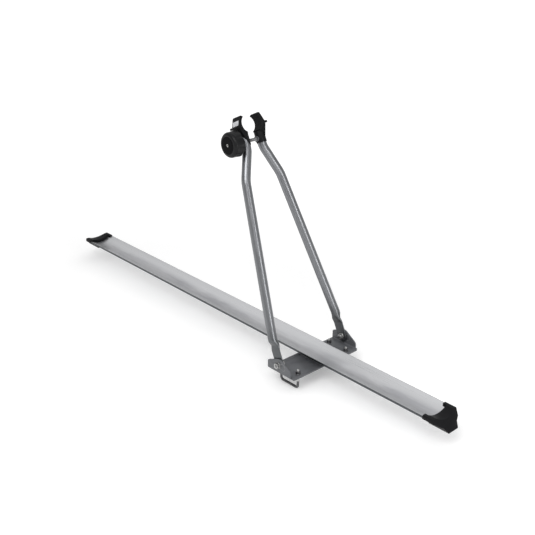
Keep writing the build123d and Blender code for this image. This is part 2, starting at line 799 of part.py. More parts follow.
hub_radius = knob_hub_diameter / 2
rim_radius = knob_diameter / 2
rim_front_radius = rim_radius - knob_taper
rim_inside = rim_radius - knob_taper - knob_wall
face_radius = knob_face_diameter / 2
scallop_centre = rim_radius + scallop_radius - scallop_depth
cover_seat = cover_diameter / 2 + fit_gap
cup_radius = cover_seat - knob_wall
web_back = rim_back + knob_web_depth
web_front = web_back + knob_wall
insert_end = hub_back + seat_gap + insert_length
rod_end = hub_back + rod_in_knob
cover_back = knob_face - cover_thickness
knob_section_plane = Plane(
    origin=arm_point(0, rod_height), x_dir=arm_out, z_dir=-arm_up
)
knob_profile = [
    (rim_front_radius, rim_front),
    (rim_radius, rim_back),
    (rim_inside, rim_back),
    (rim_inside, web_back),
    (hub_radius, web_back),
    (hub_radius, hub_back),
    (insert_diameter / 2 + shaft_gap, hub_back),
    (insert_diameter / 2 + shaft_gap, insert_end),
    (m8_diameter / 2 + hole_gap, insert_end),
    (m8_diameter / 2 + hole_gap, rod_end + seat_gap),
    (0, rod_end + seat_gap),
    (0, web_front),
    (cup_radius, web_front),
    (cup_radius, cover_back),
    (cover_seat, cover_back),
    (cover_seat, knob_face),
    (face_radius, knob_face),
]

with BuildPart() as clamp_knob:
    with BuildSketch(knob_section_plane):
        with BuildLine():
            Polyline(*knob_profile)
            SagittaArc((rim_front_radius, rim_front), (face_radius, knob_face), -knob_dome_bulge)
        make_face()
    revolve(axis=rod_axis)
    with BuildSketch(rod_plane.offset(rim_back + edge_round)):
        with PolarLocations((hub_radius + rim_inside) / 2, knob_ribs):
            Rectangle(rim_inside - hub_radius + 2 * knob_rib_root, knob_rib_thickness)
    extrude(amount=knob_web_depth)
    with BuildSketch(rod_plane.offset(rim_back)):
        with PolarLocations(scallop_centre, knob_scallops, start_angle=180 / knob_scallops):
            Circle(scallop_radius)
    extrude(amount=knob_face - rim_back, mode=Mode.SUBTRACT)
finish(clamp_knob, "clamp_knob")

with BuildPart() as knob_insert:
    with BuildSketch(rod_plane.offset(hub_back + seat_gap)):
        Circle(insert_diameter / 2)
        Circle(m8_diameter / 2 + shaft_gap, mode=Mode.SUBTRACT)
    extrude(amount=insert_length)
finish(knob_insert, "knob_insert")

with BuildPart() as clamp_rod:
    with BuildSketch(rod_plane.offset(-rod_far_end)):
        Circle(m8_diameter / 2)
    extrude(amount=rod_far_end + rod_end)
    chamfer(clamp_rod.faces().sort_by(Axis.Y)[-1].edges(), length=edge_round)
finish(clamp_rod, "clamp_rod")

with BuildPart() as knob_cover:
    with BuildSketch(rod_plane.offset(cover_back)):
        Circle(cover_diameter / 2)
    extrude(amount=cover_thickness)
    with BuildSketch(rod_plane.offset(cover_back)):
        Circle(cover_boss_diameter / 2)
    extrude(amount=-cover_boss_length)
    with BuildSketch(rod_plane.offset(knob_face)):
        Circle(lock_diameter / 2 + shaft_gap)
    extrude(amount=-cover_thickness - cover_boss_length, mode=Mode.SUBTRACT)
    chamfer(knob_cover.faces().sort_by(Axis.Y)[0].outer_wire().edges(), length=edge_round)
finish(knob_cover, "knob_cover")

# Lock: a keyed barrel in the cover, with a cam on its inner end
lock_face = knob_face + lock_proud
lock_back = lock_face - lock_length

with BuildPart() as lock_barrel:
    with BuildSketch(rod_plane.offset(lock_back)):
        Circle(lock_diameter / 2)
    extrude(amount=lock_length)
    with BuildSketch(rod_plane.offset(lock_face)):
        Rectangle(key_slot_length, key_slot_width)
    extrude(amount=-key_slot_depth, mode=Mode.SUBTRACT)
finish(lock_barrel, "lock_barrel")

with BuildPart() as lock_cam:
    with BuildSketch(rod_plane.offset(lock_back)):
        Circle(lock_diameter / 2)
        with Locations((cam_reach / 2, 0)):
            SlotOverall(cam_reach + cam_width, cam_width)
    extrude(amount=-cam_thickness)
finish(lock_cam, "lock_cam")
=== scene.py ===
"""An upright bike carrier dressed piece by piece, in the order it is put together:
rail, end caps, bracket, U-bolts, pivots, arms, jaws, rod, knob and lock, then the
floor, the lights and the camera. Metres, +X along the rail, +Z up."""

import json
from math import atan2, cos, radians, sin, sqrt, tan

import bmesh
import bpy
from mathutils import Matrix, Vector

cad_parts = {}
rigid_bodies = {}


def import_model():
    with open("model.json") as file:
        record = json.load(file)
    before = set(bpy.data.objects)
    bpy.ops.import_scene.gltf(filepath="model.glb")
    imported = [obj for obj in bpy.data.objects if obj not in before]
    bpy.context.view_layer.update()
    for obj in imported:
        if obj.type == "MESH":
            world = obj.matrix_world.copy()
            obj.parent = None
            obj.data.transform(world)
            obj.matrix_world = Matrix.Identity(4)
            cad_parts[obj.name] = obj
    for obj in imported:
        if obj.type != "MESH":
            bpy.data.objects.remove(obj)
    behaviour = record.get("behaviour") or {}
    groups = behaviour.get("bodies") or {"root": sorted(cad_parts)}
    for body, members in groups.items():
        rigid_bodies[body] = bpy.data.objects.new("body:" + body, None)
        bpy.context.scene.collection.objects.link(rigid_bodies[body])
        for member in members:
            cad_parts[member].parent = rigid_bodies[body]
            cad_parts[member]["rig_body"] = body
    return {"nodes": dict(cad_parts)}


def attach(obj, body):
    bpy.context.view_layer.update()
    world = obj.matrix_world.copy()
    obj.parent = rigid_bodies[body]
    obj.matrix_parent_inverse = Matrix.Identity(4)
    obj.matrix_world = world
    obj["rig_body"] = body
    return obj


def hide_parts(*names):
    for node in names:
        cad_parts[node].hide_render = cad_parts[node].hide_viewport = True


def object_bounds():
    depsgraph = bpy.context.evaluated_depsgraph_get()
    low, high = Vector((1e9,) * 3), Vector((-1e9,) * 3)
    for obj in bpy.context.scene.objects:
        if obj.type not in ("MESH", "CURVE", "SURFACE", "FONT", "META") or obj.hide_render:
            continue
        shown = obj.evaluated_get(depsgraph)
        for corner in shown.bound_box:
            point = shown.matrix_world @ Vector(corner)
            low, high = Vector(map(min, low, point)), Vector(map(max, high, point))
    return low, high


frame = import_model()
cad_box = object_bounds()

# Wheel rail: an extruded aluminium trough, anodised clear, with painted shade on the
# outer sides of its lips, which are coloured near-black. The press leaves fine lines
# along it, and tyres have worn its floor duller; the floor is also coloured darker
# along the middle, partly tyre wear and partly painted dark reflection. It lies on the
# bracket, held by two screws from above.
rail_colour = (0.67, 0.675, 0.69)
rail_rubbed_and_shaded = (0.50, 0.505, 0.525)
rail_lip_painted_shade = (0.085, 0.09, 0.095)
rail_gloss = (0.27, 0.38)
lip_shade_from, lip_blend = 0.0371, 0.0002
extrusion_lines = (6.0, 900.0, 900.0)
tyre_middle, tyre_edge = 0.010, 0.024


def new_finish(name, colour, metallic, roughness):
    """A material with its shader, the colour, metal share and roughness set."""
    material = bpy.data.materials.new(name)
    material.use_nodes = True
    shader = material.node_tree.nodes["Principled BSDF"]
    shader.inputs["Base Color"].default_value = (*colour, 1)
    shader.inputs["Metallic"].default_value = metallic
    shader.inputs["Roughness"].default_value = roughness
    return material, shader


def add_node(material, kind, **values):
    """A node of that kind in a material or world, its inputs or settings given."""
    made = material.node_tree.nodes.new(kind)
    for key, value in values.items():
        if key in made.inputs:
            made.inputs[key].default_value = value
        else:
            setattr(made, key, value)
    return made


def join(material, source, target):
    """Link an output socket to an input socket."""
    material.node_tree.links.new(source, target)


def grain(material, scale, detail=4.0, roughness=0.55, stretch=(1, 1, 1)):
    """Noise in the object's own metres, stretched along an axis if asked."""
    place = add_node(material, "ShaderNodeTexCoord")
    fit = add_node(material, "ShaderNodeMapping", Scale=stretch)
    noise = add_node(
        material, "ShaderNodeTexNoise", Scale=scale, Detail=detail, Roughness=roughness
    )
    join(material, place.outputs["Object"], fit.inputs["Vector"])
    join(material, fit.outputs["Vector"], noise.inputs["Vector"])
    return noise.outputs["Fac"]


def between(material, driver, low, high, start=0.35, end=0.65):
    """A number that runs from low to high as the driver runs from start to end."""
    spread = add_node(material, "ShaderNodeMapRange")
    for socket, value in zip(spread.inputs[1:5], (start, end, low, high)):
        socket.default_value = value
    join(material, driver, spread.inputs["Value"])
    return spread.outputs["Result"]


def combine(material, operation, first, second):
    """Arithmetic on two numbers, either of them a socket."""
    sum_node = add_node(material, "ShaderNodeMath", operation=operation)
    for socket, value in zip(sum_node.inputs, (first, second)):
        if isinstance(value, bpy.types.NodeSocket):
            join(material, value, socket)
        else:
            socket.default_value = value
    return sum_node.outputs[0]


def distance_to(material, spot, keep=(1, 1, 1)):
    """How far a point lies from a spot, with both sides of the object folded onto one."""
    place = add_node(material, "ShaderNodeTexCoord")
    folded = add_node(material, "ShaderNodeVectorMath", operation="ABSOLUTE")
    flat = add_node(material, "ShaderNodeVectorMath", operation="MULTIPLY")
    flat.inputs[1].default_value = keep
    length = add_node(material, "ShaderNodeVectorMath", operation="DISTANCE")
    length.inputs[1].default_value = spot
    join(material, place.outputs["Object"], folded.inputs[0])
    join(material, folded.outputs["Vector"], flat.inputs[0])
    join(material, flat.outputs["Vector"], length.inputs[0])
    return length.outputs["Value"]


def two_tone(material, shader, driver, first, second):
    """Run the base colour from first, or from what it already is, to second."""
    mix = add_node(material, "ShaderNodeMix", data_type="RGBA")
    if first:
        mix.inputs[6].default_value = (*first, 1)
    else:
        join(material, shader.inputs["Base Color"].links[0].from_socket, mix.inputs[6])
    mix.inputs[7].default_value = (*second, 1)
    join(material, driver, mix.inputs["Factor"])
    join(material, mix.outputs[2], shader.inputs["Base Color"])


def emboss(material, shader, height, strength, distance):
    """Turn a height into bump on the shader."""
    bump = add_node(material, "ShaderNodeBump", Strength=strength, Distance=distance)
    join(material, height, bump.inputs["Height"])
    join(material, bump.outputs["Normal"], shader.inputs["Normal"])


rail_finish, rail_shader = new_finish("extruded_aluminium", rail_colour, 1.0, 0.34)
lines = grain(rail_finish, 1.0, 3.0, 0.6, extrusion_lines)
scuffs = grain(rail_finish, 7.0, 5.0, 0.6, (1.0, 5.0, 5.0))
from_middle = distance_to(rail_finish, (0, 0, 0), (0, 1, 0))
# Partly tyre wear and partly painted dark reflection: the floor's middle band is coloured
# darker.
tyre_track = between(rail_finish, from_middle, 1, 0, tyre_middle, tyre_edge)
rub_and_shade = combine(rail_finish, "MULTIPLY", tyre_track, between(rail_finish, scuffs, 0, 1))
two_tone(rail_finish, rail_shader, rub_and_shade, rail_colour, rail_rubbed_and_shaded)
# Painted shade: the lips' outer sides are coloured near-black beyond this distance from the
# middle.
outside = between(rail_finish, from_middle, 0, 1, lip_shade_from, lip_shade_from + lip_blend)
two_tone(rail_finish, rail_shader, outside, None, rail_lip_painted_shade)
drawn = between(rail_finish, lines, *rail_gloss)
dulled = combine(rail_finish, "MULTIPLY", rub_and_shade, 0.12)
join(rail_finish, combine(rail_finish, "ADD", drawn, dulled), rail_shader.inputs["Roughness"])
emboss(rail_finish, rail_shader, lines, 0.12, 0.00005)
frame["nodes"]["wheel_rail"].material_slots[0].material = rail_finish

# End caps: one black polypropylene moulding each, with a fine spark-eroded grain.
# They push over the rail's ends and hide the sawn section.
cap_colour = (0.0048, 0.0050, 0.0056)
cap_edge = 0.0009
sharp = 30
weld = 1e-6


def moulded(name, colour, roughness, shine=0.11):
    """Moulded plastic: fine grain, with gloss that varies a little over the part."""
    material, shader = new_finish(name, colour, 0.0, roughness)
    shader.inputs["Specular IOR Level"].default_value = shine
    fine = grain(material, 2600.0, 2.0, 0.5)
    cloud = grain(material, 35.0, 4.0, 0.6)
    paler = tuple(1.5 * c for c in colour)
    two_tone(material, shader, between(material, cloud, 0, 1), colour, paler)
    gloss = between(material, cloud, roughness - 0.06, roughness + 0.06)
    join(material, gloss, shader.inputs["Roughness"])
    emboss(material, shader, fine, 0.18, 0.00008)
    return material


def hold(piece):
    """Select a piece alone and make it the active one."""
    bpy.ops.object.select_all(action="DESELECT")
    piece.select_set(True)
    bpy.context.view_layer.objects.active = piece


def work(piece, kind, **values):
    """Put a modifier on a piece, set it, and apply it."""
    step = piece.modifiers.new("step", kind)
    for key, value in values.items():
        setattr(step, key, value)
    hold(piece)
    bpy.ops.object.modifier_apply(modifier="step")


def from_node(node):
    """A CAD node's shape as a piece of our own, its flat triangles joined into faces."""
    piece = bpy.data.objects.new(f"{node}_piece", frame["nodes"][node].data.copy())
    bpy.context.scene.collection.objects.link(piece)
    hold(piece)
    bpy.ops.mesh.customdata_custom_splitnormals_clear()
    bpy.ops.object.mode_set(mode="EDIT")
    bpy.ops.mesh.select_all(action="SELECT")
    bpy.ops.mesh.remove_doubles(threshold=weld)
    bpy.ops.mesh.dissolve_limited(angle_limit=radians(0.6))
    bpy.ops.object.mode_set(mode="OBJECT")
    return piece


def smooth(piece, limit=sharp):
    """Shade a piece smooth, except over edges sharper than the limit in degrees."""
    hold(piece)
    bpy.ops.object.shade_smooth_by_angle(angle=radians(limit))


def soften(piece, width, segments):
    """Ease a piece's sharp edges, as far as the faces beside them leave room."""
    work(
        piece, "BEVEL", width=width, segments=segments, limit_method="ANGLE",
        angle_limit=radians(sharp), use_clamp_overlap=True,
    )
    smooth(piece)


def stand_in(piece, node, material):
    """Show a piece for its CAD node, on the node's body and in the node's slot."""
    if material:
        piece.data.materials.clear()
        piece.data.materials.append(material)
    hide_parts(node)
    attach(piece, frame["nodes"][node]["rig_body"])


def recast(node, edge, segments, material):
    """Show a CAD node's own shape with its edges eased, in a finish of ours."""
    piece = from_node(node)
    soften(piece, edge, segments)
    stand_in(piece, node, material)


cap_finish = moulded("cap_moulding", cap_colour, 0.46)
for node in ("front_end_cap", "rear_end_cap"):
    recast(node, cap_edge, 3, cap_finish)

# Bracket: a folded steel plate under grey powder coat, which has a slight orange
# peel. It lies on the roof bar and holds the rail and both arms. The washers of the
# U-bolts and the pivots have turned paler rings into it.
coat_colour = (0.105, 0.109, 0.118)
coat_paler = (0.140, 0.144, 0.153)
coat_rubbed = (0.26, 0.26, 0.26)
coat_gloss = (0.38, 0.52)
bracket_edge = 0.0005
u_bolt_spot = (0.028, 0.080, 0)
pivot_spot = (0.0075, 0, 0.0212)
u_bolt_ring = (0.0055, 0.0070)
pivot_ring = (0.0076, 0.0090)


def worn_ring(material, spot, keep, inner, outer):
    """A ring about a spot, patchy where the coat has held."""
    away = distance_to(material, spot, keep)
    inside = between(material, away, 0, 1, inner - 0.0002, inner + 0.0002)
    outside = between(material, away, 1, 0, outer - 0.0005, outer + 0.0003)
    patches = between(material, grain(material, 700.0, 3.0, 0.6), 0, 1, 0.40, 0.55)
    return combine(
        material, "MULTIPLY", combine(material, "MULTIPLY", inside, outside), patches
    )


coat_finish, coat_shader = new_finish("grey_powder_coat", coat_colour, 0.3, 0.42)
peel = grain(coat_finish, 900.0, 2.0, 0.4)
shade = grain(coat_finish, 18.0, 5.0, 0.65)
u_bolt_wear = worn_ring(coat_finish, u_bolt_spot, (1, 1, 0), *u_bolt_ring)
pivot_wear = worn_ring(coat_finish, pivot_spot, (1, 0, 1), *pivot_ring)
wear = combine(coat_finish, "MAXIMUM", u_bolt_wear, pivot_wear)
two_tone(coat_finish, coat_shader, between(coat_finish, shade, 0, 1), coat_colour, coat_paler)
two_tone(coat_finish, coat_shader, wear, None, coat_rubbed)
join(coat_finish, between(coat_finish, shade, *coat_gloss), coat_shader.inputs["Roughness"])
emboss(coat_finish, coat_shader, peel, 0.25, 0.0001)
recast("base_bracket", bracket_edge, 2, coat_finish)

# Rail screws and U-bolts: M5 countersunk screws in bright zinc, and bent 6 mm wire
# coloured dark grey with a rolled M6 thread at each end, which holds the bracket on
# the roof bar. A band round each thread end is coloured bright zinc, a painted
# highlight where the legs come up above the plate.
zinc_colour = (0.50, 0.50, 0.495)
zinc_dull = (0.36, 0.36, 0.355)
wire_colour = (0.15, 0.15, 0.155)
wire_dull = (0.10, 0.10, 0.105)
dish_painted_shade = (0.16, 0.16, 0.165)
dish_rim = (0.0034, 0.0041)
highlight_middle, highlight_half = 0.006, (0.009, 0.011)
u_half = 0.028
u_middle = 0.080
wire_radius = 0.003
wire_top = 0.014
wire_bend, wire_bend_steps = 0.007, 9
wire_low = -0.0345
thread_low = -0.010
m6_root = 0.00245
m6_pitch = 0.001
m6_lead = 0.0005
m6_thread_gap = 0.0006
thread_steps = 24
small_edge = 0.0003


def plated(name, colour, dull, cloud, low, high):
    """A plated metal whose colour and gloss cloud over in patches."""
    material, shader = new_finish(name, colour, 1.0, low)
    bloom = grain(material, cloud, 5.0, 0.65)
    two_tone(material, shader, between(material, bloom, 0, 1), colour, dull)
    join(material, between(material, bloom, low, high), shader.inputs["Roughness"])
    emboss(material, shader, bloom, 0.1, 0.00005)
    return material, shader


zinc_finish, zinc_shader = plated("zinc_plate", zinc_colour, zinc_dull, 160.0, 0.26, 0.42)
# Painted shade: near the pivot line, the bolt heads' dishes are coloured much darker than the
# zinc.
from_pivot = distance_to(zinc_finish, pivot_spot, (1, 0, 1))
dish_shade_mask = between(zinc_finish, from_pivot, 1, 0, *dish_rim)
two_tone(zinc_finish, zinc_shader, dish_shade_mask, None, dish_painted_shade)
wire_finish, wire_shader = plated("dull_zinc_wire", wire_colour, wire_dull, 200.0, 0.34, 0.5)
# Painted highlight: a band round the upper legs and thread ends is coloured bright zinc on the
# dark wire.
from_thread = distance_to(wire_finish, (0, 0, highlight_middle), (0, 0, 1))
thread_highlight = between(wire_finish, from_thread, 1, 0, *highlight_half)
two_tone(wire_finish, wire_shader, thread_highlight, None, zinc_colour)
nut_finish, _ = plated("dark_zinc", wire_colour, wire_dull, 260.0, 0.3, 0.45)


def ring(name, radius, height, sides=48, filled=True):
    """A circle about Z at a height, open in edit mode and selected."""
    bpy.ops.object.select_all(action="DESELECT")
    bpy.ops.mesh.primitive_circle_add(
        vertices=sides, radius=radius, fill_type="NGON" if filled else "NOTHING",
        location=(0, 0, height), rotation=(0, 0, radians(180 / sides)),
    )
    piece = bpy.context.object
    piece.name = name
    bpy.ops.object.transform_apply()
    bpy.ops.object.mode_set(mode="EDIT")
    bpy.ops.mesh.select_all(action="SELECT")
    return piece


def pull(move):
    """Extrude what is selected by a move."""
    bpy.ops.mesh.extrude_region_move(TRANSFORM_OT_translate={"value": move})


def close(piece, limit=sharp):
    """Weld a piece's seams, turn its faces outward, leave edit mode and shade it."""
    bpy.ops.mesh.select_all(action="SELECT")
    bpy.ops.mesh.remove_doubles(threshold=weld)
    bpy.ops.mesh.normals_make_consistent(inside=False)
    bpy.ops.object.mode_set(mode="OBJECT")
    smooth(piece, limit)


def pull_through(outline, across=0.0):
    """Pull a round end on through (radius, height) points, about an upright line."""
    for (radius, height), (next_radius, next_height) in zip(outline, outline[1:]):
        pull((0, 0, next_height - height))
        grow = next_radius / radius
        bpy.ops.transform.resize(
            value=(grow, grow, 1), center_override=(across, 0, next_height)
        )


def turned(name, outline, bored=False):
    """A piece turned about Z through (radius, height) points, solid or bored right through."""
    if bored:
        outline = [*outline, outline[0]]
    piece = ring(name, *outline[0], filled=not bored)
    pull_through(outline)
    close(piece)
    return piece


def thread(crest, root, pitch, low, high):
    """A rolled thread's ridge, wound up Z between two heights and closed at both ends."""
    foot = root - pitch / 10
    bpy.ops.object.select_all(action="DESELECT")
    bpy.ops.mesh.primitive_plane_add(
        size=1, location=((foot + crest) / 2, 0, low + pitch / 2), rotation=(radians(90), 0, 0)
    )
    piece = bpy.context.object
    piece.scale = (crest - foot, 0.9 * pitch, 1)
    bpy.ops.object.transform_apply()
    bpy.ops.object.mode_set(mode="EDIT")
    outline = bmesh.from_edit_mesh(piece.data)
    for corner in outline.verts:
        corner.select_set(corner.co.x > root)
    outline.select_flush(True)
    bpy.ops.transform.resize(value=(1, 1, 0.2), center_override=(crest, 0, low + pitch / 2))
    bpy.ops.mesh.select_all(action="SELECT")
    bpy.ops.mesh.delete(type="ONLY_FACE")
    bpy.ops.object.mode_set(mode="OBJECT")
    work(
        piece, "SCREW", screw_offset=pitch, iterations=round((high - low) / pitch) - 1,
        steps=thread_steps, render_steps=thread_steps,
        use_merge_vertices=True, merge_threshold=weld,
    )
    bpy.ops.object.mode_set(mode="EDIT")
    bpy.ops.mesh.select_all(action="SELECT")
    bpy.ops.mesh.fill_holes(sides=4)
    close(piece)
    return piece


def set_at(piece, place, turn=(0, 0, 0)):
    """Turn and move a piece made at the origin, and fix it there."""
    hold(piece)
    piece.location = place
    piece.rotation_euler = turn
    bpy.ops.object.transform_apply()


def one_more(piece):
    """Another of a piece, with its own mesh."""
    hold(piece)
    bpy.ops.object.duplicate()
    return bpy.context.object


def gather(name, pieces):
    """Several pieces as one object."""
    hold(pieces[0])
    for piece in pieces[1:]:
        piece.select_set(True)
    if len(pieces) > 1:
        bpy.ops.object.join()
    pieces[0].name = name
    return pieces[0]


def cut_out(piece, cutter, operation="DIFFERENCE"):
    """Cut a piece with another, or keep what they share, and throw the cutter away."""
    work(piece, "BOOLEAN", operation=operation, object=cutter, solver="EXACT")
    bpy.data.objects.remove(cutter)


def block(size, height):
    """A block of a size, its middle at a height above the origin."""
    bpy.ops.object.select_all(action="DESELECT")
    bpy.ops.mesh.primitive_cube_add(size=1, location=(0, 0, height))
    piece = bpy.context.object
    piece.scale = size
    bpy.ops.object.transform_apply()
    return piece


def cross_slot(piece, across, wide, height, depth):
    """Press a cross recess into a screw's head from above."""
    for size in ((across, wide), (wide, across)):
        cut_out(piece, block((*size, 2 * depth), height))


leg = [
    (m6_root - m6_lead, wire_top), (m6_root, wire_top - m6_lead), (m6_root, thread_low),
    (wire_radius, thread_low - m6_lead), (wire_radius, wire_low + wire_bend),
]
u_wire = ring("u_wire", *leg[0], 32)
bpy.ops.transform.translate(value=(-u_half, 0, 0))
pull_through(leg, -u_half)
bend_middle = (wire_bend - u_half, 0, wire_low + wire_bend)
bpy.ops.mesh.spin(
    steps=wire_bend_steps, angle=radians(90), center=bend_middle, axis=(0, 1, 0)
)
pull((u_half - wire_bend, 0, 0))
bpy.ops.mesh.delete(type="ONLY_FACE")
close(u_wire)
work(u_wire, "MIRROR", use_mirror_merge=True, merge_threshold=1e-5)
leg_thread = thread(
    wire_radius, m6_root, m6_pitch, thread_low, wire_top - m6_thread_gap
)
other_thread = one_more(leg_thread)
set_at(leg_thread, (-u_half, 0, 0))
set_at(other_thread, (u_half, 0, 0))
u_bolt = gather("far_u_bolt_piece", [u_wire, leg_thread, other_thread])
smooth(u_bolt)
near_u_bolt = one_more(u_bolt)
near_u_bolt.name = "near_u_bolt_piece"
set_at(u_bolt, (0, u_middle, 0))
set_at(near_u_bolt, (0, -u_middle, 0))
stand_in(u_bolt, "far_u_bolt", wire_finish)
stand_in(near_u_bolt, "near_u_bolt", wire_finish)

rail_screw_place = 0.030
m5_head, m5_radius, m5_length, m5_lead = 0.0048, 0.0024, 0.010, 0.0004
rail_screw = turned(
    "rail_screw",
    [
        (m5_head, 0), (m5_head, 0.0001), (m5_radius, 0.0025),
        (m5_radius, m5_length - m5_lead), (m5_radius - 0.0003, m5_length),
    ],
)
cross_slot(rail_screw, across=0.0046, wide=0.0009, height=0, depth=0.0016)
smooth(rail_screw)
other_screw = one_more(rail_screw)
set_at(rail_screw, (-rail_screw_place, 0, 0))
set_at(other_screw, (rail_screw_place, 0, 0))
rail_screws = gather("rail_screws_piece", [rail_screw, other_screw])
stand_in(rail_screws, "rail_screws", zinc_finish)
recast("rail_slot_nuts", small_edge, 2, zinc_finish)

# U-bolt washers and nuts: punched M6 washers with a rolled upper edge, and M6 nuts
# of 10 mm hexagon bar, turned off at the corners above and below. Both are in the
# same dull zinc as the wire, and clamp the bracket's plate.
plate_top = 0.003
washer_thickness = 0.0016
m6_nut_flats = 0.010
m6_nut_height = 0.005
m6_nut_bore = 0.0031
m6_washer_radius = 0.006
m6_washer_bore = 0.0033
nut_sharp = 25
corner_slope = 30
face_share = 0.48


def hexagon(name, flats, height):
    """A slice of hexagon bar from Z 0 up, its corners turned off at both ends."""
    corner = flats / sqrt(3)
    bpy.ops.object.select_all(action="DESELECT")
    bpy.ops.mesh.primitive_cylinder_add(
        vertices=6, radius=corner, depth=height, location=(0, 0, height / 2),
        rotation=(0, 0, radians(30)),
    )
    piece = bpy.context.object
    piece.name = name
    bpy.ops.object.transform_apply()
    face = face_share * flats
    drop = (corner - face) * tan(radians(corner_slope))
    blank = turned(
        "blank",
        [(face, 0), (1.001 * corner, drop), (1.001 * corner, height - drop), (face, height)],
    )
    cut_out(piece, blank, "INTERSECT")
    return piece


def bore(piece, radius, height, lead):
    """Bore a piece right through along Z, with a lead at both mouths."""
    cutter = turned(
        "cutter",
        [
            (radius + 2 * lead, -lead), (radius, lead),
            (radius, height - lead), (radius + 2 * lead, height + lead),
        ],
    )
    cut_out(piece, cutter)


four_corners = [(x, y) for x in (-u_half, u_half) for y in (-u_middle, u_middle)]


def four_of(name, piece, height):
    """A piece at each of the four U-bolt legs, as one object."""
    copies = [piece] + [one_more(piece) for _ in four_corners[1:]]
    for copy, (x, y) in zip(copies, four_corners):
        set_at(copy, (x, y, height))
    return gather(name, copies)


m6_washer = turned(
    "m6_washer",
    [
        (m6_washer_bore, 0), (m6_washer_radius, 0), (m6_washer_radius, 0.0012),
        (m6_washer_radius - 0.0004, washer_thickness),
        (m6_washer_bore + 0.0001, washer_thickness), (m6_washer_bore, 0.0014),
    ],
    bored=True,
)
u_bolt_washers = four_of("u_bolt_washers_piece", m6_washer, plate_top)
stand_in(u_bolt_washers, "u_bolt_washers", nut_finish)
m6_nut = hexagon("m6_nut", m6_nut_flats, m6_nut_height)
bore(m6_nut, m6_nut_bore, m6_nut_height, 0.0003)
smooth(m6_nut, nut_sharp)
u_bolt_nuts = four_of("u_bolt_nuts_piece", m6_nut, plate_top + washer_thickness)
stand_in(u_bolt_nuts, "u_bolt_nuts", nut_finish)

# Pivots: M8 bolts whose pressed heads have a shallow dish, plain washers, a plastic
# spacer beside each arm, and lock nuts with a nylon ring let into their collar.
pivot = Vector((-0.0075, 0, 0.0212))
head_seat = 0.1116
bolt_tip = 0.0910
inner_washer = 0.1019
inner_nut = 0.1003
m8_flats = 0.013
m8_head_height = 0.0053
m8_nut_height = 0.0065
m8_crest = 0.00398
m8_root = 0.0034
m8_pitch = 0.00125
m8_lead = 0.0006
m8_thread_gap = 0.0004
m8_nut_bore = 0.0041
m8_washer_radius = 0.008
nut_body = 0.0052
dish_radius, dish_depth = 0.0045, 0.0009
nylon_colour = (0.30, 0.32, 0.34)
bush_colour = (0.055, 0.056, 0.060)
spacer_edge = 0.0002

bolt_length = head_seat - bolt_tip
thread_length = 0.013
bolt_head = hexagon("bolt_head", m8_flats, m8_head_height)
dish = turned(
    "dish", [(0.0036, m8_head_height - dish_depth), (dish_radius, m8_head_height + 0.0001)]
)
cut_out(bolt_head, dish)
smooth(bolt_head, nut_sharp)
shank = turned(
    "shank",
    [
        (m8_root - m8_lead, -bolt_length),
        (m8_root, m8_lead - bolt_length),
        (m8_root, thread_length - bolt_length),
        (m8_crest, thread_length + m8_lead - bolt_length),
        (m8_crest, 0.001),
    ],
)
bolt_thread = thread(
    m8_crest, m8_root, m8_pitch, m8_thread_gap - bolt_length, thread_length - bolt_length
)
far_bolt = gather("far_pivot_bolt_piece", [bolt_head, shank, bolt_thread])
near_bolt = one_more(far_bolt)
near_bolt.name = "near_pivot_bolt_piece"
set_at(far_bolt, pivot + Vector((0, head_seat, 0)), (radians(-90), 0, 0))
set_at(near_bolt, pivot - Vector((0, head_seat, 0)), (radians(90), 0, 0))
stand_in(far_bolt, "far_pivot_bolt", zinc_finish)
stand_in(near_bolt, "near_pivot_bolt", zinc_finish)

nylon_finish = moulded("nylon_ring", nylon_colour, 0.4, 0.4)
lock_nut = hexagon("lock_nut", m8_flats, nut_body)
bore(lock_nut, m8_nut_bore, nut_body, 0.0004)
collar = turned(
    "collar",
    [
        (0.0051, 0.0040), (0.0059, 0.0040), (0.0059, 0.0060),
        (0.0056, 0.0064), (0.0052, m8_nut_height), (0.0051, 0.0062),
    ],
    bored=True,
)
lock_nut = gather("lock_nut", [lock_nut, collar])
smooth(lock_nut, nut_sharp)
lock_nut.data.materials.append(zinc_finish)
nylon_ring = turned(
    "nylon_ring",
    [
        (m8_nut_bore, 0.0045), (0.00525, 0.0045), (0.00525, 0.0060), (0.0045, 0.0062),
        (m8_nut_bore, 0.0059),
    ],
    bored=True,
)
nylon_ring.data.materials.append(nylon_finish)
far_nut = gather("lock_nut_with_ring", [lock_nut, nylon_ring])
near_nut = one_more(far_nut)
set_at(far_nut, pivot + Vector((0, inner_nut, 0)), (radians(90), 0, 0))
set_at(near_nut, pivot - Vector((0, inner_nut, 0)), (radians(-90), 0, 0))
pivot_nuts = gather("pivot_nuts_piece", [far_nut, near_nut])
stand_in(pivot_nuts, "pivot_nuts", None)

m8_washer = turned(
    "m8_washer",
    [
        (0.0044, 0), (m8_washer_radius, 0), (m8_washer_radius, 0.0011),
        (m8_washer_radius - 0.0005, washer_thickness), (0.0045, washer_thickness),
        (0.0043, 0.0014),
    ],
    bored=True,
)
washers = [m8_washer] + [one_more(m8_washer) for _ in range(3)]
washer_spots = [
    (head_seat - washer_thickness, -90), (washer_thickness - head_seat, 90),
    (inner_washer, 90), (-inner_washer, -90),
]
for washer, (y, turn) in zip(washers, washer_spots):
    set_at(washer, pivot + Vector((0, y, 0)), (radians(turn), 0, 0))
stand_in(gather("pivot_washers_piece", washers), "pivot_washers", zinc_finish)

bush_finish = moulded("grey_bush", bush_colour, 0.42, 0.3)
recast("pivot_spacers", spacer_edge, 2, bush_finish)
